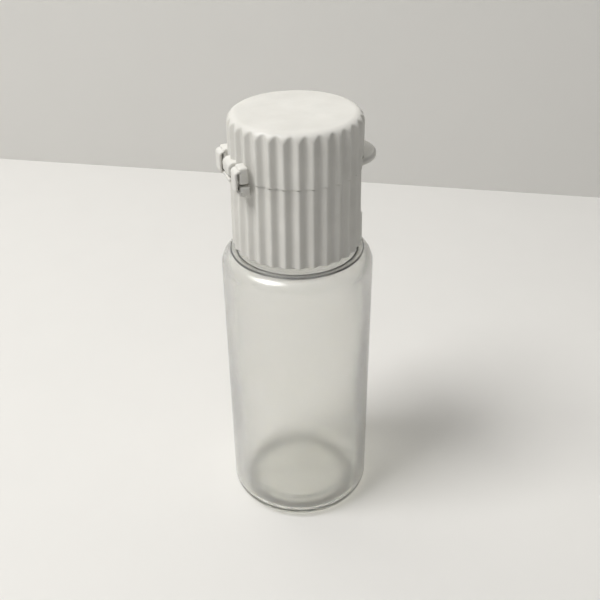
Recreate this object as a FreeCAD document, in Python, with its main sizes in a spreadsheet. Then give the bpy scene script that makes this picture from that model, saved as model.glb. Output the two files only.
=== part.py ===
import FreeCAD, Part
import math
import os
import re
import Sketcher

# A small squeeze dropper bottle, in millimetres. The origin is the centre of the base on the
# surface it stands on, +Z is up the bottle's axis and +X points at the lid's thumb tab.
# The body is one blow-moulded shell. A drip plug sits in its neck, under a screw collar
# whose flip lid hangs on two strap hinges.

# Driving dimensions: alias, value, what it is.
DRIVING = [
    ("barrel_radius", 11.0, "outside of the body"),
    ("wall", 0.9, "body wall"),
    ("base_round", 1.9, "outside round at the base"),
    ("push_up_radius", 7.4, "recess under the base"),
    ("push_up", 0.5, "depth of the recess"),
    ("shoulder_z", 44.27, "top of the domed shoulder"),
    ("shoulder_round", 2.4, "round of the dome"),
    ("step_radius", 9.6, "ring step on the shoulder"),
    ("step_top", 44.5, "top of the ring step"),
    ("neck_radius", 6.6, "root of the neck thread"),
    ("neck_bore", 5.0, "bore of the neck"),
    ("neck_top", 54.8, "mouth of the neck"),
    ("thread_pitch", 2.5, "rise of the thread in one turn"),
    ("thread_depth", 0.8, "height of the thread ridge"),
    ("thread_foot", 1.3, "width of the ridge at its root"),
    ("thread_crest", 0.6, "width of the ridge at its crest"),
    ("neck_thread_z", 49.6, "start of the neck's ridge"),
    ("neck_thread_turns", 1.5, "length of the neck's ridge in turns"),
    ("cap_thread_z", 48.6, "start of the collar's ridge, under the neck's"),
    ("cap_thread_turns", 1.25, "length of the collar's ridge in turns"),
    ("collar_bottom", 45.57, "lower rim of the collar"),
    ("collar_foot_radius", 9.32, "rib crests at the lower rim"),
    ("cap_radius", 9.1, "rib crests of the collar at the seam"),
    ("collar_bore", 7.75, "root of the collar's thread"),
    ("seam", 57.04, "deck of the collar, where the lid closes"),
    ("deck", 1.24, "thickness of the deck"),
    ("deck_hole", 4.0, "hole that the nozzle comes through"),
    ("spigot_radius", 7.9, "upstand that the lid closes over"),
    ("spigot_wall", 0.9, "wall of the upstand"),
    ("spigot_top", 58.4, "top of the upstand"),
    ("bead_radius", 6.95, "bead that holds the plug's flange"),
    ("bead_z", 54.3, "underside of the bead"),
    ("bead_height", 0.35, "height of the bead"),
    ("relief_radius", 8.82, "shaved ribs under the thumb tab"),
    ("relief_bottom", 49.85, "lower end of the shaved ribs"),
    ("relief_angle", 52, "sweep of the shaved ribs in degrees"),
    ("rib_count", 30, "ribs round the cap"),
    ("rib_depth", 0.48, "depth of the flutes between ribs"),
    ("flute_radius", 0.95, "radius of a flute's hollow"),
    ("lid_gap", 0.05, "air between deck and closed lid"),
    ("lid_top", 64.5, "top of the lid"),
    ("lid_radius", 9.2, "rib crests of the lid"),
    ("lid_round", 1.4, "round at the lid's top edge"),
    ("lid_bore", 8.1, "inside of the lid"),
    ("lid_roof", 1.3, "thickness of the lid's roof"),
    ("nub_radius", 0.85, "sealing nub under the roof"),
    ("tab_tip", 11.5, "reach of the thumb tab from the axis"),
    ("tab_radius", 4.88, "outline radius of the thumb tab"),
    ("tab_height", 1.0, "thickness of the thumb tab"),
    ("flange_radius", 7.3, "flange of the plug"),
    ("flange_z", 54.85, "underside of the flange"),
    ("flange_height", 0.85, "thickness of the flange"),
    ("skirt_radius", 4.95, "skirt of the plug"),
    ("skirt_bore", 4.1, "inside of the skirt"),
    ("skirt_bottom", 48.8, "lower end of the skirt"),
    ("nozzle_foot", 3.6, "nozzle radius at the flange"),
    ("nozzle_tip", 1.6, "nozzle radius at the tip"),
    ("nozzle_top", 61.3, "tip of the nozzle"),
    ("orifice", 0.5, "radius of the drip hole"),
    ("cup_radius", 1.1, "mouth of the drip cup"),
    ("cup_depth", 0.65, "depth of the drip cup"),
    ("boss_face", 9.4, "outer faces of the hinge bosses, from the axis"),
    ("boss_foot", 7.95, "inner faces of the hinge bosses"),
    ("boss_width", 2.0, "width of a boss and of its strap"),
    ("boss_offset", 3.6, "middle of each strap from the middle plane"),
    ("collar_boss", 1.5, "height of the collar's bosses"),
    ("lid_boss", 2.3, "height of the lid's bosses"),
    ("boss_gap", 0.15, "boss to seam"),
    ("strap_low", 55.9, "lower end of a strap's loop"),
    ("strap_high", 59.2, "upper end of a strap's loop"),
    ("strap_reach", 0.65, "how far a strap's loop stands off its bosses"),
    ("strap_thickness", 0.45, "thickness of a strap"),
    ("knuckle_face", 9.95, "outer faces of the two middle knuckles, at the hinge line"),
    ("knuckle_foot", 8.4, "inner faces of the knuckles, inside the wall"),
    ("knuckle_width", 2.8, "width of a knuckle"),
    ("knuckle_height", 1.9, "height of a knuckle at the wall"),
    ("knuckle_lip", 0.35, "height of the collar knuckle's outer face"),
]
SIZES = {alias: value for alias, value, meaning in DRIVING}
FULL_TURN = 360.0

doc = FreeCAD.newDocument("DropperBottle")


def make_sheet():
    """Put the driving dimensions into the document's spreadsheet."""
    sheet = doc.addObject("Spreadsheet::Sheet", "Sizes")
    for row, (alias, value, meaning) in enumerate(DRIVING, start=1):
        sheet.set("A%d" % row, meaning)
        sheet.set("B%d" % row, str(value))
        sheet.setAlias("B%d" % row, alias)
    doc.recompute()
    return sheet


sheet = make_sheet()


def linked(text):
    """The expression with the sheet's name in front of each driving dimension."""
    def with_sheet(word):
        return "Sizes." + word.group() if word.group() in SIZES else word.group()
    return re.sub(r"[a-z]\w*", with_sheet, text)


def number(text):
    """What an expression of driving dimensions comes to now."""
    return float(sheet.evalExpression(linked(text)))


def bind(feature, path, text):
    """Drive one of a feature's properties from the sheet."""
    feature.setExpression(path, linked(text))


def origin_item(body, role):
    """One of the body's own origin planes or axes."""
    for item in body.Origin.OriginFeatures:
        if item.Role == role:
            return item
    raise ValueError("no origin item " + role)


def new_body(name):
    body = doc.addObject("PartDesign::Body", name)
    body.Label = name
    return body


def new_sketch(body, name, plane, height=None):
    """A sketch on one of the body's origin planes, raised along its normal if asked."""
    sketch = body.newObject("Sketcher::SketchObject", name)
    sketch.AttachmentSupport = [(origin_item(body, plane), "")]
    sketch.MapMode = "FlatFace"
    if height is not None:
        bind(sketch, "AttachmentOffset.Base.z", height)
    return sketch


def pin_point(sketch, edge, end, across, up):
    """Fix one end of an edge at a place worked out from the sheet."""
    for kind, text, axis in (("DistanceX", across, -2), ("DistanceY", up, -1)):
        if text == "0":
            sketch.addConstraint(Sketcher.Constraint("PointOnObject", edge, end, axis))
            continue
        rule = Sketcher.Constraint(kind, -1, 1, edge, end, number(text))
        bind(sketch, "Constraints[%d]" % sketch.addConstraint(rule), text)


def arc_between(start, finish, radius):
    """The short arc from start to finish: to the left round its centre if radius is positive."""
    chord = finish - start
    height = math.sqrt(radius * radius - chord.Length * chord.Length / 4)
    left = FreeCAD.Vector(-chord.y, chord.x, 0).normalize()
    centre = (start + finish) * 0.5 + left * math.copysign(height, radius)
    first, last = (start, finish) if radius > 0 else (finish, start)
    angles = [math.atan2(point.y - centre.y, point.x - centre.x) for point in (first, last)]
    circle = Part.Circle(centre, FreeCAD.Vector(0, 0, 1), abs(radius))
    return Part.ArcOfCircle(circle, angles[0], angles[1])


def outline(body, name, corners, plane="XZ_Plane", height=None):
    """A closed outline. A corner is (across, up); with a third entry the edge that ends there
    is an arc of that radius, and "-" in front of the radius makes it bulge the other way."""
    sketch = new_sketch(body, name, plane, height)
    places = [FreeCAD.Vector(number(corner[0]), number(corner[1]), 0) for corner in corners]
    edges = []
    for index, corner in enumerate(corners):
        start = places[index - 1]
        finish = places[index]
        if len(corner) == 2:
            edges.append((sketch.addGeometry(Part.LineSegment(start, finish), False), 1, 2))
            continue
        arc = arc_between(start, finish, number(corner[2]))
        edge = sketch.addGeometry(arc, False)
        edges.append((edge, 1, 2) if number(corner[2]) > 0 else (edge, 2, 1))
        rule = Sketcher.Constraint("Radius", edge, abs(number(corner[2])))
        bind(sketch, "Constraints[%d]" % sketch.addConstraint(rule), corner[2].lstrip("-"))
    for index, corner in enumerate(corners):
        edge, start_end, finish_end = edges[index]
        next_edge, next_start, next_finish = edges[(index + 1) % len(edges)]
        sketch.addConstraint(Sketcher.Constraint("Coincident", edge, finish_end, next_edge, next_start))
        pin_point(sketch, edge, finish_end, corner[0], corner[1])
    return sketch


def ring(body, name, radius, plane="XY_Plane", height=None, across="0"):
    """A sketch of one circle, centred on the sketch's horizontal axis."""
    sketch = new_sketch(body, name, plane, height)
    centre = FreeCAD.Vector(number(across), 0, 0)
    circle = sketch.addGeometry(Part.Circle(centre, FreeCAD.Vector(0, 0, 1), number(radius)), False)
    rule = Sketcher.Constraint("Radius", circle, number(radius))
    bind(sketch, "Constraints[%d]" % sketch.addConstraint(rule), radius)
    pin_point(sketch, circle, 3, across, "0")
    return sketch


def turned(body, kind, name, sketch):
    """A full revolve, or a revolved cut, of a sketch about the bottle's axis."""
    feature = body.newObject("PartDesign::" + kind, name)
    feature.Profile = sketch
    feature.ReferenceAxis = (sketch, ["V_Axis"])
    feature.Angle = FULL_TURN
    doc.recompute()
    return feature


def padded(body, name, sketch, length, symmetric=False):
    pad = body.newObject("PartDesign::Pad", name)
    pad.Profile = sketch
    if symmetric:
        pad.SideType = "Symmetric"
    bind(pad, "Length", length)
    doc.recompute()
    return pad


def thread(body, name, root, side, start, turns):
    """A right-hand thread ridge on a wall of radius root; side is "+" for a neck, "-" for a cap."""
    into = "-" if side == "+" else "+"
    foot = root + into + "0.2"
    crest = root + side + "thread_depth"
    corners = [
        (foot, start + "-thread_foot/2"),
        (root, start + "-thread_foot/2"),
        (crest, start + "-thread_crest/2"),
        (crest, start + "+thread_crest/2"),
        (root, start + "+thread_foot/2"),
        (foot, start + "+thread_foot/2"),
    ]
    sketch = outline(body, name + "_outline", corners)
    helix = body.newObject("PartDesign::AdditiveHelix", name)
    helix.Profile = sketch
    helix.ReferenceAxis = (sketch, ["V_Axis"])
    helix.Mode = "pitch-turns-angle"
    bind(helix, "Pitch", "thread_pitch")
    bind(helix, "Turns", turns)
    doc.recompute()
    return helix


def flutes(body, foot_radius, foot_z, head_radius, head_z):
    """The hollows between the ribs: one flute lofted up the wall, repeated round the cap."""
    foot = ring(body, "flute_foot", "flute_radius", height=foot_z,
                across=foot_radius + "+flute_radius-rib_depth")
    head = ring(body, "flute_head", "flute_radius", height=head_z,
                across=head_radius + "+flute_radius-rib_depth")
    for end in (foot, head):
        bind(end, "AttachmentOffset.Rotation.Angle", "180/rib_count")
    flute = body.newObject("PartDesign::SubtractiveLoft", "flute")
    flute.Profile = foot
    flute.Sections = [head]
    doc.recompute()
    pattern = body.newObject("PartDesign::PolarPattern", "all_flutes")
    pattern.Originals = [flute]
    pattern.Axis = (foot, ["N_Axis"])
    pattern.Angle = FULL_TURN
    bind(pattern, "Occurrences", "rib_count")
    body.Tip = pattern
    doc.recompute()


def hinge_boss(body, name, low, height, side):
    """The block on the rear wall that one strap grows from."""
    middle = side + "boss_offset"
    corners = [
        ("-boss_face", middle + "-boss_width/2"),
        ("-boss_foot", middle + "-boss_width/2"),
        ("-boss_foot", middle + "+boss_width/2"),
        ("-boss_face", middle + "+boss_width/2"),
    ]
    sketch = outline(body, name + "_outline", corners, plane="XY_Plane", height=low)
    padded(body, name, sketch, height)


def knuckle(body, name, corners):
    """The block in the middle of the hinge, drawn from the side."""
    sketch = outline(body, name + "_outline", corners)
    padded(body, name, sketch, "knuckle_width", symmetric=True)


def build_bottle():
    """Blow-moulded body: barrel, domed shoulder, ring step and threaded neck."""
    body = new_body("bottle")
    barrel = outline(body, "barrel_outline", [
        ("0", "push_up"),
        ("push_up_radius-push_up", "push_up"),
        ("push_up_radius", "0"),
        ("barrel_radius-base_round", "0"),
        ("barrel_radius", "base_round", "base_round"),
        ("barrel_radius", "shoulder_z-shoulder_round"),
        ("barrel_radius-shoulder_round", "shoulder_z", "shoulder_round"),
        ("0", "shoulder_z"),
    ])
    turned(body, "Revolution", "barrel", barrel)
    step = outline(body, "step_outline", [
        ("0", "shoulder_z-1"),
        ("step_radius", "shoulder_z-1"),
        ("step_radius", "step_top"),
        ("neck_radius+0.6", "step_top"),
        ("neck_radius", "step_top+0.6", "-0.6"),
        ("neck_radius", "neck_top"),
        ("0", "neck_top"),
    ])
    turned(body, "Revolution", "step_and_neck", step)
    thread(body, "neck_thread", "neck_radius", "+", "neck_thread_z", "neck_thread_turns")
    cavity = outline(body, "cavity_outline", [
        ("0", "push_up+wall"),
        ("push_up_radius-push_up", "push_up+wall"),
        ("barrel_radius-base_round", "wall"),
        ("barrel_radius-wall", "base_round", "base_round-wall"),
        ("barrel_radius-wall", "shoulder_z-shoulder_round"),
        ("barrel_radius-shoulder_round", "shoulder_z-wall", "shoulder_round-wall"),
        ("neck_bore", "shoulder_z-wall"),
        ("neck_bore", "neck_top+1"),
        ("0", "neck_top+1"),
    ])
    turned(body, "Groove", "cavity", cavity)
    return body


def build_dropper_insert():
    """Drip plug: a skirt that seals in the neck, a flange and a cone nozzle with a drip cup."""
    body = new_body("dropper_insert")
    section = outline(body, "plug_outline", [
        ("skirt_bore", "skirt_bottom"),
        ("skirt_radius-0.25", "skirt_bottom"),
        ("skirt_radius", "skirt_bottom+0.8"),
        ("skirt_radius", "flange_z"),
        ("flange_radius", "flange_z"),
        ("flange_radius", "flange_z+flange_height"),
        ("nozzle_foot", "flange_z+flange_height"),
        ("nozzle_tip", "nozzle_top-0.3"),
        ("nozzle_tip-0.25", "nozzle_top"),
        ("cup_radius", "nozzle_top"),
        ("orifice", "nozzle_top-cup_depth"),
        ("orifice", "nozzle_top-2.4"),
        ("nozzle_foot-0.9", "flange_z+flange_height"),
        ("skirt_bore", "flange_z-0.6"),
    ])
    turned(body, "Revolution", "plug", section)
    return body


def build_collar():
    """Ribbed screw base of the cap: thread inside, deck with the nozzle hole, lid spigot."""
    body = new_body("collar")
    skirt = outline(body, "skirt_outline", [
        ("0", "collar_bottom"),
        ("collar_foot_radius", "collar_bottom"),
        ("cap_radius", "seam"),
        ("0", "seam"),
    ])
    turned(body, "Revolution", "skirt", skirt)
    flutes(body, "collar_foot_radius", "collar_bottom", "cap_radius", "seam")
    for name, side in (("left_boss", "-"), ("right_boss", "+")):
        hinge_boss(body, name, "seam-boss_gap-collar_boss", "collar_boss", side)
    knuckle(body, "lower_knuckle", [
        ("-knuckle_foot", "seam-boss_gap"),
        ("-knuckle_face", "seam-boss_gap"),
        ("-knuckle_face", "seam-boss_gap-knuckle_lip"),
        ("-knuckle_foot", "seam-boss_gap-knuckle_height"),
    ])
    spigot = outline(body, "spigot_outline", [
        ("spigot_radius-spigot_wall", "seam-0.5"),
        ("spigot_radius", "seam-0.5"),
        ("spigot_radius", "spigot_top-0.3"),
        ("spigot_radius-0.3", "spigot_top"),
        ("spigot_radius-spigot_wall", "spigot_top"),
    ])
    turned(body, "Revolution", "spigot", spigot)
    bore = outline(body, "bore_outline", [
        ("0", "collar_bottom-1"),
        ("collar_bore+0.4", "collar_bottom-1"),
        ("collar_bore+0.4", "collar_bottom"),
        ("collar_bore", "collar_bottom+0.4"),
        ("collar_bore", "bead_z-0.4"),
        ("bead_radius", "bead_z"),
        ("bead_radius", "bead_z+bead_height"),
        ("collar_bore", "bead_z+bead_height"),
        ("collar_bore", "seam-deck"),
        ("deck_hole", "seam-deck"),
        ("deck_hole", "spigot_top+1"),
        ("0", "spigot_top+1"),
    ])
    turned(body, "Groove", "bore", bore)
    thread(body, "cap_thread", "collar_bore", "-", "cap_thread_z", "cap_thread_turns")
    relief = outline(body, "relief_outline", [
        ("relief_radius", "relief_bottom"),
        ("cap_radius+1", "relief_bottom"),
        ("cap_radius+1", "seam+0.01"),
        ("relief_radius", "seam+0.01"),
    ])
    cut = turned(body, "Groove", "thumb_relief", relief)
    cut.Midplane = True
    bind(cut, "Angle", "relief_angle")
    doc.recompute()
    return body


def build_lid():
    """Flip lid: ribbed wall, rounded top, crescent thumb tab and sealing nub."""
    body = new_body("lid")
    shell = outline(body, "shell_outline", [
        ("0", "seam+lid_gap"),
        ("lid_radius", "seam+lid_gap"),
        ("lid_radius", "lid_top-lid_round"),
        ("lid_radius-lid_round", "lid_top", "lid_round"),
        ("0", "lid_top"),
    ])
    turned(body, "Revolution", "shell", shell)
    flutes(body, "lid_radius", "seam+lid_gap", "lid_radius", "lid_top")
    tab = ring(body, "tab_outline", "tab_radius", height="seam+lid_gap", across="tab_tip-tab_radius")
    padded(body, "thumb_tab", tab, "tab_height")
    for name, side in (("left_boss", "-"), ("right_boss", "+")):
        hinge_boss(body, name, "seam+boss_gap", "lid_boss", side)
    knuckle(body, "upper_knuckle", [
        ("-knuckle_foot", "seam+boss_gap"),
        ("-knuckle_foot", "seam+boss_gap+knuckle_height"),
        ("-knuckle_face+0.5", "seam+boss_gap+knuckle_height"),
        ("-knuckle_face", "seam+boss_gap+knuckle_height-0.5", "0.5"),
        ("-knuckle_face", "seam+boss_gap"),
    ])
    hollow = outline(body, "hollow_outline", [
        ("0", "seam-1"),
        ("lid_bore", "seam-1"),
        ("lid_bore", "lid_top-lid_roof-0.6"),
        ("lid_bore-0.6", "lid_top-lid_roof", "0.6"),
        ("nub_radius+0.6", "lid_top-lid_roof"),
        ("nub_radius", "nozzle_top+0.2"),
        ("nub_radius-0.6", "nozzle_top-0.2"),
        ("0", "nozzle_top-0.2"),
    ])
    turned(body, "Groove", "hollow", hollow)
    return body


def build_strap(name, side):
    """One living-hinge strap: a loop from a collar boss out and up to the lid boss above it."""
    body = new_body(name)
    loop = outline(body, "loop_outline", [
        ("-boss_face", "strap_low"),
        ("-boss_face-strap_reach", "strap_low+strap_reach", "-strap_reach"),
        ("-boss_face-strap_reach", "strap_high-strap_reach"),
        ("-boss_face", "strap_high", "-strap_reach"),
        ("-boss_face", "strap_high-strap_thickness"),
        ("-boss_face-strap_reach+strap_thickness", "strap_high-strap_reach", "strap_reach-strap_thickness"),
        ("-boss_face-strap_reach+strap_thickness", "strap_low+strap_reach"),
        ("-boss_face", "strap_low+strap_thickness", "strap_reach-strap_thickness"),
    ])
    padded(body, "loop", loop, "boss_width", symmetric=True)
    bind(body, "Placement.Base.y", side + "boss_offset")
    return body


def check_document():
    """Stop if any object failed to compute."""
    for item in doc.Objects:
        if "Invalid" in item.State or "Error" in item.State:
            raise RuntimeError(item.Name + " is " + ", ".join(item.State))


def write_parts(bodies):
    """Write each sub-part's shape to its own file, named for its node."""
    for body in bodies:
        shape = body.Shape
        if shape.isNull() or not shape.isValid():
            raise RuntimeError(body.Label + " has no valid shape")
    os.makedirs("parts", exist_ok=True)
    for body in bodies:
        body.Shape.exportStep("parts/%s.step" % body.Label)
        print(body.Label, len(body.Shape.Solids), "solid,", round(body.Shape.Volume, 2), "mm3,", body.Shape.BoundBox)


bodies = [
    build_bottle(),
    build_dropper_insert(),
    build_collar(),
    build_lid(),
    build_strap("hinge_strap_left", "-"),
    build_strap("hinge_strap_right", "+"),
]
doc.recompute()
check_document()
write_parts(bodies)
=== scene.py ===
import math
import bmesh
import bpy
import numpy as np
from mathutils import Matrix, Vector


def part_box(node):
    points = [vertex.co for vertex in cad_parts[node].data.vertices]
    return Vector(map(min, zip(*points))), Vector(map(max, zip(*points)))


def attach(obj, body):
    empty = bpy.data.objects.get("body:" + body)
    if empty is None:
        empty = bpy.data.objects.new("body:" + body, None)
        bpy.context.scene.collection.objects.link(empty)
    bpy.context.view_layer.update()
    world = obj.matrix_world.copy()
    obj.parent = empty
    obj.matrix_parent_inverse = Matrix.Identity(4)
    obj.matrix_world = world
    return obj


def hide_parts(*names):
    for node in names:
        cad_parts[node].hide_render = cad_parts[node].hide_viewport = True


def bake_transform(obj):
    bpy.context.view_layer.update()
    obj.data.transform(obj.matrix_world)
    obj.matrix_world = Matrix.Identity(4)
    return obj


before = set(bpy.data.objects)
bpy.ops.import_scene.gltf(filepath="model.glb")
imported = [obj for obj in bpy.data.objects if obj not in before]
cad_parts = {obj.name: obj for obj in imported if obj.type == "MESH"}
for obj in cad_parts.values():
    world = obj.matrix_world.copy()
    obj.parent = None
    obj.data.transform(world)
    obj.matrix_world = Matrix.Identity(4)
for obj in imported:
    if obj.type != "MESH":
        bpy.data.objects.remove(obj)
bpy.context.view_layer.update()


# --- Bottle ------------------------------------------------------------------------------
# One blow-moulded shell of natural low-density polyethylene: milky, see-through, a little
# uneven inside, with the faint parting line of the two mould halves up each side and a
# pinch-off scar under the base. The neck's thread is moulded with it.

corner_step = math.radians(11)


def rounded(corners, closed=False):
    """A half section with its corners rounded: each is (radius, height, rounding, pieces), and
    pieces is how many the straight run that ends there is cut into."""
    count = len(corners)
    runs = []
    for index, (across, up, rounding, pieces) in enumerate(corners):
        here = np.array((across, up))
        if rounding == 0 or (not closed and index in (0, count - 1)):
            runs.append(([here], pieces))
            continue
        back = np.array(corners[index - 1][:2]) - here
        ahead = np.array(corners[(index + 1) % count][:2]) - here
        back = back / np.linalg.norm(back)
        ahead = ahead / np.linalg.norm(ahead)
        half = math.acos(np.clip(back @ ahead, -1, 1)) / 2
        middle = (back + ahead) / np.linalg.norm(back + ahead)
        centre = here + middle * rounding / math.sin(half)
        first = here + back * rounding / math.tan(half) - centre
        last = here + ahead * rounding / math.tan(half) - centre
        sweep = math.pi - 2 * half
        steps = max(3, math.ceil(sweep / corner_step))
        shares = np.linspace(0, 1, steps + 1)
        bend = [np.sin((1 - share) * sweep) * first + np.sin(share * sweep) * last for share in shares]
        runs.append(([centre + point / math.sin(sweep) for point in bend], pieces))
    section = []
    for index, (points, pieces) in enumerate(runs):
        if index > 0 or closed:
            start = runs[index - 1][0][-1]
            section += [start + (points[0] - start) * step / pieces for step in range(1, pieces)]
        section += points
    return np.array(section)


def turned(name, section, around, shaped=None, closed=False):
    """The section turned about the bottle's axis; shaped(angle, radius, height) may alter the
    radius and height of every point. An open section starts and ends on the axis."""
    angle = np.arange(around) * 2 * math.pi / around
    radius = np.repeat(section[:, :1], around, axis=1)
    height = np.repeat(section[:, 1:], around, axis=1)
    if shaped:
        radius, height = shaped(np.broadcast_to(angle, radius.shape), radius, height)
    points = np.stack((radius * np.cos(angle), radius * np.sin(angle), height), axis=2)
    rows = len(section)
    mesh = bmesh.new()
    if closed:
        grid = [[mesh.verts.new(point) for point in row] for row in points]
        grid.append(grid[0])
    else:
        ends = [mesh.verts.new((0, 0, section[row, 1])) for row in (0, rows - 1)]
        grid = [[mesh.verts.new(point) for point in row] for row in points[1:-1]]
        for column in range(around):
            beside = (column + 1) % around
            mesh.faces.new((ends[0], grid[0][column], grid[0][beside]))
            mesh.faces.new((ends[1], grid[-1][beside], grid[-1][column]))
    for lower, upper in zip(grid, grid[1:]):
        for column in range(around):
            beside = (column + 1) % around
            mesh.faces.new((lower[column], upper[column], upper[beside], lower[beside]))
    bmesh.ops.recalc_face_normals(mesh, faces=mesh.faces)
    return finished(name, mesh)


def finished(name, mesh):
    """The mesh as a smooth-shaded object of the scene."""
    data = bpy.data.meshes.new(name)
    mesh.to_mesh(data)
    mesh.free()
    data.shade_smooth()
    made = bpy.data.objects.new(name, data)
    bpy.context.scene.collection.objects.link(made)
    return made


thread_fade = math.radians(25)


def ridge(angle, height, start, turns, pitch, foot, crest):
    """How much of a thread's full depth stands at each point, fading out at its two ends."""
    amount = np.zeros(angle.shape)
    for lap in range(math.ceil(turns) + 1):
        along = angle + lap * 2 * math.pi
        aside = np.abs(height - start - pitch * along / (2 * math.pi))
        flank = np.clip((foot / 2 - aside) / (foot / 2 - crest / 2), 0, 1)
        flank = flank * flank * (3 - 2 * flank)
        inside = np.clip(np.minimum(along, turns * 2 * math.pi - along) / thread_fade, 0, 1)
        amount = np.maximum(amount, flank * inside)
    return amount


bottle_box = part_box("bottle")
bottle_radius = bottle_box[1].x
neck_top = bottle_box[1].z
wall = 0.0009
base_round = 0.0019
push_up = 0.0005
push_up_radius = 0.0074
shoulder_height = 0.04427
shoulder_round = 0.0024
step_radius = 0.0096
step_height = 0.0445
neck_radius = 0.0066
neck_bore = 0.0050
thread_depth = 0.0008
thread_pitch = 0.0025
thread_foot = 0.0013
thread_crest = 0.0006
neck_thread_start = 0.0496
neck_thread_turns = 1.5
parting_angle = math.radians(160)
neck_margin = 0.0012
neck_lip = 0.0003
parting_depth = 0.00004
parting_width = 0.00022
scar_height = 0.0002
scar_width = 0.00025
wall_waviness = 0.00003
same_wall = 0.0002

bottle_section = rounded([
    (0, push_up, 0, 1),
    (push_up_radius - push_up, push_up, 0.0003, 14),
    (push_up_radius, 0, 0.0003, 2),
    (bottle_radius, 0, base_round, 3),
    (bottle_radius, shoulder_height, shoulder_round, 60),
    (step_radius, shoulder_height, 0.00005, 4),
    (step_radius, step_height, 0.00007, 3),
    (neck_radius, step_height, 0.0006, 8),
    (neck_radius, neck_top, 0.0002, 90),
    (neck_bore, neck_top, 0.0002, 3),
    (neck_bore, shoulder_height - wall, 0.0006, 12),
    (bottle_radius - wall, shoulder_height - wall, shoulder_round - wall, 8),
    (bottle_radius - wall, wall, base_round - wall, 60),
    (push_up_radius, wall, 0.0003, 3),
    (push_up_radius - push_up, wall + push_up, 0.0003, 2),
    (0, wall + push_up, 0, 14),
])


def moulded_bottle(angle, radius, height):
    """The thread on the neck, the parting line outside and the uneven wall inside."""
    neck_outside = (radius > neck_bore + neck_margin) & (height < neck_top - neck_lip)
    on_neck = neck_outside & (height > step_height + neck_margin)
    rise = ridge(
        angle, height, neck_thread_start, neck_thread_turns, thread_pitch, thread_foot, thread_crest)
    radius = radius + np.where(on_neck, rise * thread_depth, 0)
    outside = (radius > bottle_radius - same_wall) & (height > base_round)
    across = np.abs(np.sin(angle - parting_angle)) * bottle_radius
    off_parting = 1 - np.exp(-(across / parting_width) ** 2)
    radius = radius - np.where(outside, parting_depth, 0) * off_parting
    inside = (np.abs(radius - bottle_radius + wall) < same_wall) & (height > wall + 0.001)
    waves = np.sin(3 * angle + 170 * height) + 0.7 * np.sin(5 * angle - 260 * height + 1.3)
    radius = radius + np.where(inside, wall_waviness * waves, 0)
    under = (radius < push_up_radius - push_up) & (height < wall)
    scar = np.exp(-(radius * np.sin(angle - parting_angle) / scar_width) ** 2)
    height = height - np.where(under, scar_height * scar, 0)
    return radius, height


def natural_polyethylene(name, clearness):
    """Milky polyethylene with a soft, slightly uneven gloss and a fine ripple."""
    material = bpy.data.materials.new(name)
    material.use_nodes = True
    nodes = material.node_tree.nodes
    link = material.node_tree.links.new
    shader = nodes["Principled BSDF"]
    shader.inputs["IOR"].default_value = 1.5
    shader.inputs["Transmission Weight"].default_value = clearness
    shader.inputs["Subsurface Weight"].default_value = 1.0
    shader.inputs["Subsurface Radius"].default_value = (1.0, 0.95, 0.85)
    shader.inputs["Subsurface Scale"].default_value = 0.003
    place = nodes.new("ShaderNodeTexCoord").outputs["Object"]
    cloud = nodes.new("ShaderNodeTexNoise")
    cloud.inputs["Scale"].default_value = 160
    cloud.inputs["Detail"].default_value = 3
    link(place, cloud.inputs["Vector"])
    milk = nodes.new("ShaderNodeValToRGB")
    milk.color_ramp.elements[0].position = 0.3
    milk.color_ramp.elements[0].color = (0.98, 0.98, 0.955, 1)
    milk.color_ramp.elements[1].position = 0.7
    milk.color_ramp.elements[1].color = (0.998, 0.998, 0.982, 1)
    link(cloud.outputs["Fac"], milk.inputs["Fac"])
    link(milk.outputs["Color"], shader.inputs["Base Color"])
    haze = nodes.new("ShaderNodeMapRange")
    haze.inputs["To Min"].default_value = 0.16
    haze.inputs["To Max"].default_value = 0.23
    link(cloud.outputs["Fac"], haze.inputs["Value"])
    link(haze.outputs["Result"], shader.inputs["Roughness"])
    ripple = nodes.new("ShaderNodeTexNoise")
    ripple.inputs["Scale"].default_value = 900
    ripple.inputs["Detail"].default_value = 4
    link(place, ripple.inputs["Vector"])
    bump = nodes.new("ShaderNodeBump")
    bump.inputs["Strength"].default_value = 0.25
    bump.inputs["Distance"].default_value = 0.00003
    link(ripple.outputs["Fac"], bump.inputs["Height"])
    link(bump.outputs["Normal"], shader.inputs["Normal"])
    lamp_light = nodes.new("ShaderNodeBsdfTransparent")
    lamp_light.inputs["Color"].default_value = (0.60, 0.60, 0.58, 1)
    either = nodes.new("ShaderNodeMixShader")
    link(nodes.new("ShaderNodeLightPath").outputs["Is Shadow Ray"], either.inputs["Fac"])
    link(shader.outputs["BSDF"], either.inputs[1])
    link(lamp_light.outputs["BSDF"], either.inputs[2])
    link(either.outputs["Shader"], nodes["Material Output"].inputs["Surface"])
    return material


bottle = turned("blown_bottle", bottle_section, 216, moulded_bottle)
bottle.data.materials.append(natural_polyethylene("milky_polyethylene", 0.91))
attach(bottle, "bottle")
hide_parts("bottle")


# --- Drip plug ---------------------------------------------------------------------------
# A separate moulding of the same soft polyethylene pressed into the neck: its skirt seals the
# bore, its flange lies on the mouth, and its cone ends in a fine drip hole with a small cup.

plug_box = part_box("dropper_insert")
flange_radius = plug_box[1].x
nozzle_top = plug_box[1].z
skirt_bottom = plug_box[0].z
flange_low = 0.05485
flange_high = 0.0557
skirt_radius = 0.00495
skirt_bore = 0.0041
nozzle_foot = 0.0036
nozzle_tip = 0.0016
drip_hole = 0.0005
drip_cup = 0.0011
drip_cup_depth = 0.00065
drip_hole_foot = 0.0024
cone_wall = 0.0009
skirt_lead = 0.0008

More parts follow.
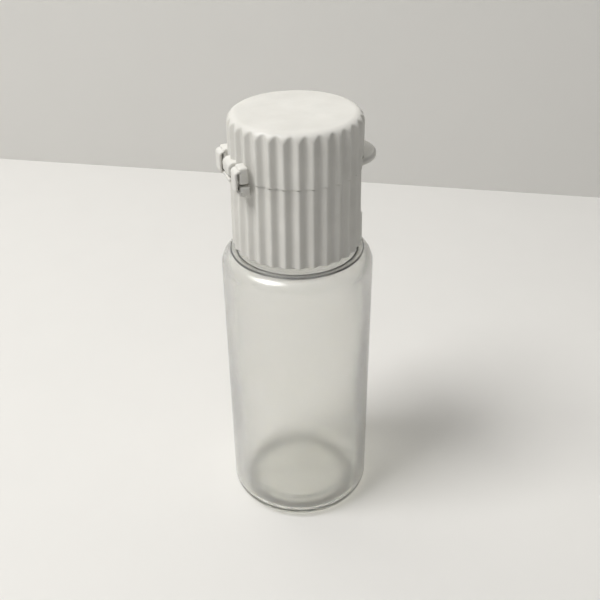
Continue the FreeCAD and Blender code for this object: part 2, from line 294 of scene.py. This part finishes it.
plug_section = rounded([
    (skirt_bore, skirt_bottom, 0.00015, 8),
    (skirt_radius - 0.0002, skirt_bottom, 0.0001, 1),
    (skirt_radius, skirt_bottom + skirt_lead, 0.0004, 2),
    (skirt_radius, flange_low, 0.0001, 8),
    (flange_radius, flange_low, 0.00015, 4),
    (flange_radius, flange_high, 0.00025, 1),
    (nozzle_foot, flange_high, 0.0004, 6),
    (nozzle_tip, nozzle_top, 0.00022, 14),
    (drip_cup, nozzle_top, 0.0001, 1),
    (drip_hole, nozzle_top - drip_cup_depth, 0.0001, 3),
    (drip_hole, nozzle_top - drip_hole_foot, 0.0003, 3),
    (nozzle_foot - cone_wall, flange_high, 0.0006, 8),
    (skirt_bore, flange_low - 0.0006, 0.0005, 2),
], closed=True)
plug = turned("drip_plug", plug_section, 144, closed=True)
plug.data.materials.append(natural_polyethylene("plug_polyethylene", 0.5))
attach(plug, "dropper")
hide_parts("dropper_insert")


# --- Collar ------------------------------------------------------------------------------
# The screw half of the cap, white polypropylene: a ribbed skirt with the thread inside, a bead
# that holds the plug's flange, a deck with the nozzle hole and a low spigot for the lid. The
# ribs are shaved back under the thumb tab, and two bosses behind carry the hinge straps.

def lowest(first, second, blend):
    """The smaller of two radii, with the corner between them eased over a small distance."""
    share = np.clip(0.5 + 0.5 * (second - first) / blend, 0, 1)
    return second * (1 - share) + first * share - blend * share * (1 - share)


def fluted(angle):
    """How deep the hollow between two ribs is at this angle; rib crests lie at the thumb tab."""
    return rib_depth * (0.5 - 0.5 * np.cos(rib_count * angle)) ** rib_fullness


def block(name, low, high, rounding):
    """A moulded block between two corners, with rounded edges."""
    mesh = bmesh.new()
    middle = (Vector(low) + Vector(high)) / 2
    size = Vector(high) - Vector(low)
    place = Matrix.Translation(middle) @ Matrix.Diagonal((*size, 1))
    bmesh.ops.create_cube(mesh, size=1, matrix=place)
    bmesh.ops.bevel(mesh, geom=mesh.edges[:], offset=rounding, segments=4, profile=0.5, affect="EDGES")
    return finished(name, mesh)


def weld(body, additions):
    """Joins separately drawn parts of one moulding into a single closed skin."""
    for addition in additions:
        union = body.modifiers.new("weld", "BOOLEAN")
        union.operation = "UNION"
        union.solver = "MANIFOLD"
        union.object = addition
    bpy.context.view_layer.update()
    graph = bpy.context.evaluated_depsgraph_get()
    welded = bpy.data.meshes.new_from_object(body.evaluated_get(graph))
    body.modifiers.clear()
    body.data = welded
    for addition in additions:
        bpy.data.objects.remove(addition)
    body.data.set_sharp_from_angle(angle=math.radians(50))


collar_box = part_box("collar")
collar_bottom = collar_box[0].z
collar_foot = collar_box[1].y
cap_radius = 0.0091
spigot_top = collar_box[1].z
deck_top = 0.05704
deck_low = 0.0558
deck_hole = 0.0040
spigot_radius = 0.0079
spigot_inside = 0.0070
collar_bore = 0.00775
bead_inside = 0.00695
bead_low = 0.0543
bead_high = 0.05465
rib_count = 30
rib_depth = 0.00048
rib_fullness = 0.8
rib_easing = 0.00004
collar_thread_start = 0.0486
collar_thread_turns = 1.25
relief_radius = 0.00882
relief_bottom = 0.04985
relief_half = math.radians(26)
strap_width = 0.0020
strap_middle = 0.0036
boss_face = 0.0094
boss_foot = 0.00795
knuckle_face = 0.00995
knuckle_foot = 0.0084
knuckle_width = 0.0028
knuckle_height = 0.0019
knuckle_lip = 0.00035
boss_rounding = 0.0003

collar_section = rounded([
    (collar_foot, collar_bottom, 0.00012, 2),
    (cap_radius, deck_top, 0.00016, 44),
    (spigot_radius, deck_top, 0.0001, 5),
    (spigot_radius, spigot_top, 0.00025, 4),
    (spigot_inside, spigot_top, 0.00015, 1),
    (spigot_inside, deck_top, 0.0002, 4),
    (deck_hole, deck_top, 0.00015, 6),
    (deck_hole, deck_low, 0.0001, 3),
    (collar_bore, deck_low, 0.0002, 6),
    (collar_bore, bead_high, 0.0001, 3),
    (bead_inside, bead_high, 0.0001, 1),
    (bead_inside, bead_low, 0.0001, 1),
    (collar_bore, bead_low - 0.0004, 0.0002, 2),
    (collar_bore, collar_bottom + 0.0004, 0.0001, 80),
    (collar_bore + 0.0004, collar_bottom, 0.0001, 1),
], closed=True)


def moulded_collar(angle, radius, height):
    """Ribs and thumb relief outside, thread inside."""
    up_skirt = (height - collar_bottom) / (deck_top - collar_bottom)
    crest = collar_foot + (cap_radius - collar_foot) * up_skirt
    outside = (radius > spigot_radius + 0.0006) & (height < deck_top + 0.00005)
    ribbed = lowest(radius, crest - fluted(angle), rib_easing)
    turn = np.abs((angle + math.pi) % (2 * math.pi) - math.pi)
    shaved = (turn < relief_half) & (height > relief_bottom)
    ribbed = np.where(shaved, np.minimum(ribbed, relief_radius), ribbed)
    radius = np.where(outside, ribbed, radius)
    in_bore = (np.abs(radius - collar_bore) < 0.0001) & (height < bead_low - 0.0005)
    rise = ridge(
        angle, height, collar_thread_start, collar_thread_turns, thread_pitch, thread_foot, thread_crest)
    radius = radius - np.where(in_bore, rise * thread_depth, 0)
    return radius, height


def white_polypropylene():
    """White polypropylene as it leaves a fine-eroded mould: a satin skin with a tight grain,
    a trace of light soaking in, and faint patches rubbed a little glossier."""
    material = bpy.data.materials.new("white_polypropylene")
    material.use_nodes = True
    nodes = material.node_tree.nodes
    link = material.node_tree.links.new
    shader = nodes["Principled BSDF"]
    shader.inputs["IOR"].default_value = 1.49
    shader.inputs["Subsurface Weight"].default_value = 0.15
    shader.inputs["Subsurface Radius"].default_value = (1.0, 0.95, 0.85)
    shader.inputs["Subsurface Scale"].default_value = 0.0008
    place = nodes.new("ShaderNodeTexCoord").outputs["Object"]
    tone = nodes.new("ShaderNodeTexNoise")
    tone.inputs["Scale"].default_value = 260
    tone.inputs["Detail"].default_value = 5
    link(place, tone.inputs["Vector"])
    white = nodes.new("ShaderNodeValToRGB")
    white.color_ramp.elements[0].position = 0.25
    white.color_ramp.elements[0].color = (0.68, 0.67, 0.635, 1)
    white.color_ramp.elements[1].position = 0.75
    white.color_ramp.elements[1].color = (0.755, 0.745, 0.71, 1)
    link(tone.outputs["Fac"], white.inputs["Fac"])
    link(white.outputs["Color"], shader.inputs["Base Color"])
    rub = nodes.new("ShaderNodeMapRange")
    rub.inputs["From Min"].default_value = 0.35
    rub.inputs["From Max"].default_value = 0.7
    rub.inputs["To Min"].default_value = 0.50
    rub.inputs["To Max"].default_value = 0.36
    link(tone.outputs["Fac"], rub.inputs["Value"])
    link(rub.outputs["Result"], shader.inputs["Roughness"])
    grain = nodes.new("ShaderNodeTexNoise")
    grain.inputs["Scale"].default_value = 5200
    grain.inputs["Detail"].default_value = 2
    link(place, grain.inputs["Vector"])
    bump = nodes.new("ShaderNodeBump")
    bump.inputs["Strength"].default_value = 0.35
    bump.inputs["Distance"].default_value = 0.00002
    link(grain.outputs["Fac"], bump.inputs["Height"])
    link(bump.outputs["Normal"], shader.inputs["Normal"])
    return material


cap_white = white_polypropylene()
collar = turned("screw_collar", collar_section, 480, moulded_collar, closed=True)


def knuckle(name, side_view, rounding):
    """The wedge in the middle of the hinge, drawn from the side as (x, z) corners."""
    mesh = bmesh.new()
    near = [mesh.verts.new((x, -knuckle_width / 2, z)) for x, z in side_view]
    face = mesh.faces.new(near)
    extruded = bmesh.ops.extrude_face_region(mesh, geom=[face])["geom"]
    moved = [item for item in extruded if isinstance(item, bmesh.types.BMVert)]
    bmesh.ops.translate(mesh, verts=moved, vec=(0, knuckle_width, 0))
    bmesh.ops.recalc_face_normals(mesh, faces=mesh.faces)
    bmesh.ops.bevel(mesh, geom=mesh.edges[:], offset=rounding, segments=4, profile=0.5, affect="EDGES")
    return finished(name, mesh)


collar_boss_low = 0.05539
collar_boss_high = 0.05689
weld(collar, [
    block("collar_boss", (-boss_face, side * strap_middle - strap_width / 2, collar_boss_low),
          (-boss_foot, side * strap_middle + strap_width / 2, collar_boss_high), boss_rounding)
    for side in (-1, 1)
] + [knuckle("lower_knuckle", [
    (-knuckle_foot, collar_boss_high),
    (-knuckle_foot, collar_boss_high - knuckle_height),
    (-knuckle_face, collar_boss_high - knuckle_lip),
    (-knuckle_face, collar_boss_high),
], 0.00015)])
collar.data.materials.clear()
collar.data.materials.append(cap_white)
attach(collar, "collar")
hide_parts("collar")


# --- Lid ---------------------------------------------------------------------------------
# The flip half of the cap, moulded with the collar in the same white polypropylene. Its ribs
# run out in the rounded top edge, a crescent tab sticks out for the thumb, and a small nub
# under the roof closes the drip cup.

lid_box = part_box("lid")
lid_radius = 0.0092
lid_low = lid_box[0].z
lid_top = lid_box[1].z
tab_tip = lid_box[1].x
lid_round = 0.0014
lid_bore = 0.0081
roof_low = lid_top - 0.0013
nub_radius = 0.00085
nub_low = nozzle_top - 0.0002
tab_radius = 0.00488
tab_thickness = 0.0010
tab_inner = 0.006806
knuckle_bevel = 0.0005
lid_boss_inset = 0.0002

lid_section = rounded([
    (0, lid_top, 0, 1),
    (lid_radius, lid_top, lid_round, 40),
    (lid_radius, lid_low, 0.00016, 26),
    (lid_bore, lid_low, 0.00015, 2),
    (lid_bore, roof_low, 0.0006, 12),
    (nub_radius + 0.0006, roof_low, 0.0004, 8),
    (nub_radius, nozzle_top + 0.0002, 0.0002, 3),
    (nub_radius - 0.0006, nub_low, 0.00015, 2),
    (0, nub_low, 0, 2),
])


def moulded_lid(angle, radius, height):
    """Ribs outside, up to where they meet the rounded top edge."""
    outside = (radius > lid_bore + 0.00008) & (height > lid_low - 0.00001) & (height < lid_top - 0.00001)
    ribbed = lowest(radius, lid_radius - fluted(angle), rib_easing)
    return np.where(outside, ribbed, radius), height


def thumb_tab(name):
    """A flat round-edged disc, cut straight across at tab_inner, inside the lid's bore."""
    middle = tab_tip - tab_radius
    edge = tab_thickness * 0.42
    outline = [(0, lid_low, 0, 1), (tab_radius, lid_low, edge, 4)]
    outline += [(tab_radius, lid_low + tab_thickness, edge, 1), (0, lid_low + tab_thickness, 0, 4)]
    tab = turned(name, rounded(outline), 96)
    tab.data.transform(Matrix.Translation((middle, 0, 0)))
    cut = bmesh.new()
    cut.from_mesh(tab.data)
    geometry = cut.verts[:] + cut.edges[:] + cut.faces[:]
    inner = Vector((tab_inner, 0, 0))
    bmesh.ops.bisect_plane(cut, geom=geometry, plane_co=inner, plane_no=(-1, 0, 0), clear_outer=True)
    bmesh.ops.holes_fill(cut, edges=cut.edges[:])
    cut.to_mesh(tab.data)
    cut.free()
    return tab


lid = turned("flip_lid", lid_section, 480, moulded_lid)
lid_boss_low = 0.05719
lid_boss_high = 0.05949
weld(lid, [
    block("lid_boss", (-boss_face, side * strap_middle - strap_width / 2, lid_boss_low),
          (-boss_foot - lid_boss_inset, side * strap_middle + strap_width / 2, lid_boss_high), boss_rounding)
    for side in (-1, 1)
] + [knuckle("upper_knuckle", [
    (-knuckle_foot, lid_boss_low),
    (-knuckle_foot, lid_boss_low + knuckle_height),
    (-knuckle_face + knuckle_bevel, lid_boss_low + knuckle_height),
    (-knuckle_face, lid_boss_low + knuckle_height - knuckle_bevel),
    (-knuckle_face, lid_boss_low),
], 0.00024), thumb_tab("thumb_tab")])
lid.data.materials.clear()
lid.data.materials.append(cap_white)
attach(lid, "lid")
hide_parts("lid")


# --- Hinge straps ------------------------------------------------------------------------
# Two thin loops of the cap's own polypropylene, one each side of the middle, that stand out
# behind the seam. They were moulded flat, so they bulge a little. On the cap they bend when the
# lid opens; here each is built in one fixed shape from its part's box.

strap_thickness = 0.00045
strap_root = 0.0003
strap_sides = 20


def hinge_strap(node, side):
    """One loop from the collar's boss out and up to the lid's boss above it."""
    low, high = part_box(node)
    reach = -low.x - boss_face
    bend = reach - strap_thickness / 2
    bottom = low.z + strap_thickness / 2
    top = high.z - strap_thickness / 2
    quarter = np.linspace(0, math.pi / 2, 12)
    lower = [(-boss_face - bend * math.sin(t), bottom + bend * (1 - math.cos(t))) for t in quarter]
    upper = [(-boss_face - bend * math.cos(t), top - bend * (1 - math.sin(t))) for t in quarter]
    straight = np.linspace(lower[-1], upper[0], 8)[1:-1].tolist()
    roots = [[(-boss_face + strap_root, bottom)], [(-boss_face + strap_root, top)]]
    path = np.array(roots[0] + lower + straight + upper + roots[1])
    heading = np.gradient(path, axis=0)
    heading = heading / np.linalg.norm(heading, axis=1)[:, None]
    mesh = bmesh.new()
    rings = []
    for (x, z), (along_x, along_z) in zip(path, heading):
        across = Vector((-along_z, 0, along_x))
        ring = []
        for turn in np.arange(strap_sides) * 2 * math.pi / strap_sides:
            wide = math.copysign(abs(math.cos(turn)) ** 0.35, math.cos(turn)) * strap_width / 2
            thick = math.copysign(abs(math.sin(turn)) ** 0.7, math.sin(turn)) * strap_thickness / 2
            point = Vector((x, side * strap_middle + wide, z)) + across * thick
            ring.append(mesh.verts.new(point))
        rings.append(ring)
    for first, second in zip(rings, rings[1:]):
        for index in range(strap_sides):
            beside = (index + 1) % strap_sides
            mesh.faces.new((first[index], second[index], second[beside], first[beside]))
    mesh.faces.new(rings[0])
    mesh.faces.new(rings[-1])
    bmesh.ops.recalc_face_normals(mesh, faces=mesh.faces)
    strap = finished(node + "_loop", mesh)
    strap.data.materials.append(cap_white)
    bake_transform(strap)
    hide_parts(node)


hinge_strap("hinge_strap_left", -1)
hinge_strap("hinge_strap_right", 1)


# --- Tabletop, wall, light and camera ----------------------------------------------------
# A pale paper-white tabletop that ends at a light grey wall a hand's width behind the bottle,
# a soft window of light high on the left, a large soft ceiling light and a weak fill from the room.

turn_to_bottle = math.radians(-20)


def beside_bottle(across, away, up):
    """A place given as seen from the camera: to the right, away from it, and up."""
    return Matrix.Rotation(turn_to_bottle, 4, "Z") @ Vector((across, away, up))


def paper(name, colour, grain):
    """Matt paint or paper with a faint mottled tone."""
    material = bpy.data.materials.new(name)
    material.use_nodes = True
    nodes = material.node_tree.nodes
    link = material.node_tree.links.new
    shader = nodes["Principled BSDF"]
    shader.inputs["Roughness"].default_value = 0.8
    shader.inputs["Specular IOR Level"].default_value = 0.2
    noise = nodes.new("ShaderNodeTexNoise")
    noise.inputs["Scale"].default_value = grain
    noise.inputs["Detail"].default_value = 4
    link(nodes.new("ShaderNodeTexCoord").outputs["Object"], noise.inputs["Vector"])
    tone = nodes.new("ShaderNodeValToRGB")
    tone.color_ramp.elements[0].color = [level * 0.975 for level in colour] + [1]
    tone.color_ramp.elements[1].color = [*colour, 1]
    link(noise.outputs["Fac"], tone.inputs["Fac"])
    link(tone.outputs["Color"], shader.inputs["Base Color"])
    return material


def sheet(name, corners, material):
    data = bpy.data.meshes.new(name)
    data.from_pydata([tuple(corner) for corner in corners], [], [(0, 1, 2, 3)])
    made = bpy.data.objects.new(name, data)
    bpy.context.scene.collection.objects.link(made)
    made.data.materials.append(material)
    return made


wall_left = Vector((-0.90, 0.2920, 0))
wall_right = Vector((0.90, -0.0480, 0))
wall_height = 1.2
wall_foot = [beside_bottle(*point) for point in (wall_left, wall_right)]
table_front = [beside_bottle(*point) for point in ((0.9, -0.9, 0), (-0.9, -0.9, 0))]
sheet("tabletop", wall_foot + table_front, paper("table_white", (0.79, 0.78, 0.76), 90))
wall_head = [point + Vector((0, 0, wall_height)) for point in wall_foot]
wall_paint = paper("wall_grey", (0.78, 0.77, 0.745), 40)
sheet("back_wall", [wall_foot[0], wall_foot[1], wall_head[1], wall_head[0]], wall_paint)


aim_height = 0.03


def soft_light(name, place, size, power):
    """A square of soft light aimed at the middle of the bottle."""
    lamp = bpy.data.lights.new(name, "AREA")
    lamp.size = size
    lamp.energy = power
    lamp.color = (1.0, 0.99, 0.965)
    light = bpy.data.objects.new(name, lamp)
    light.location = place
    light.rotation_mode = "QUATERNION"
    light.rotation_quaternion = (place - Vector((0, 0, aim_height))).to_track_quat("Z", "Y")
    bpy.context.scene.collection.objects.link(light)


soft_light("window", beside_bottle(-0.28, -0.12, 0.55), 0.25, 3.0)
soft_light("ceiling", beside_bottle(0.0, 0.05, 0.85), 0.80, 1.35)

room = bpy.data.worlds.new("room")
room.use_nodes = True
room.node_tree.nodes["Background"].inputs["Color"].default_value = (0.95, 0.97, 1.0, 1)
room.node_tree.nodes["Background"].inputs["Strength"].default_value = 0.09
bpy.context.scene.world = room
bpy.context.scene.view_settings.view_transform = "Standard"

camera_away = 0.10563
camera_height = 0.102275
camera_down = 0.568
camera_turn = 0.003
camera_roll = -0.012
camera_reach = 831.994 / 600

ahead = Vector((math.sin(camera_turn), math.cos(camera_turn), 0))
looking = ahead * math.cos(camera_down) - Vector((0, 0, math.sin(camera_down)))
level = Vector((math.cos(camera_turn), -math.sin(camera_turn), 0))
upright = level.cross(looking)
right = math.cos(camera_roll) * level + math.sin(camera_roll) * upright
above = math.cos(camera_roll) * upright - math.sin(camera_roll) * level
stand = Matrix((right, above, -looking)).transposed().to_4x4()
stand.translation = (0, -camera_away, camera_height)
lens = bpy.data.cameras.new("camera")
lens.sensor_width = 36
lens.lens = camera_reach * lens.sensor_width
lens.clip_start = 0.005
camera = bpy.data.objects.new("camera", lens)
camera.matrix_world = Matrix.Rotation(turn_to_bottle, 4, "Z") @ stand
bpy.context.scene.collection.objects.link(camera)
bpy.context.scene.camera = camera
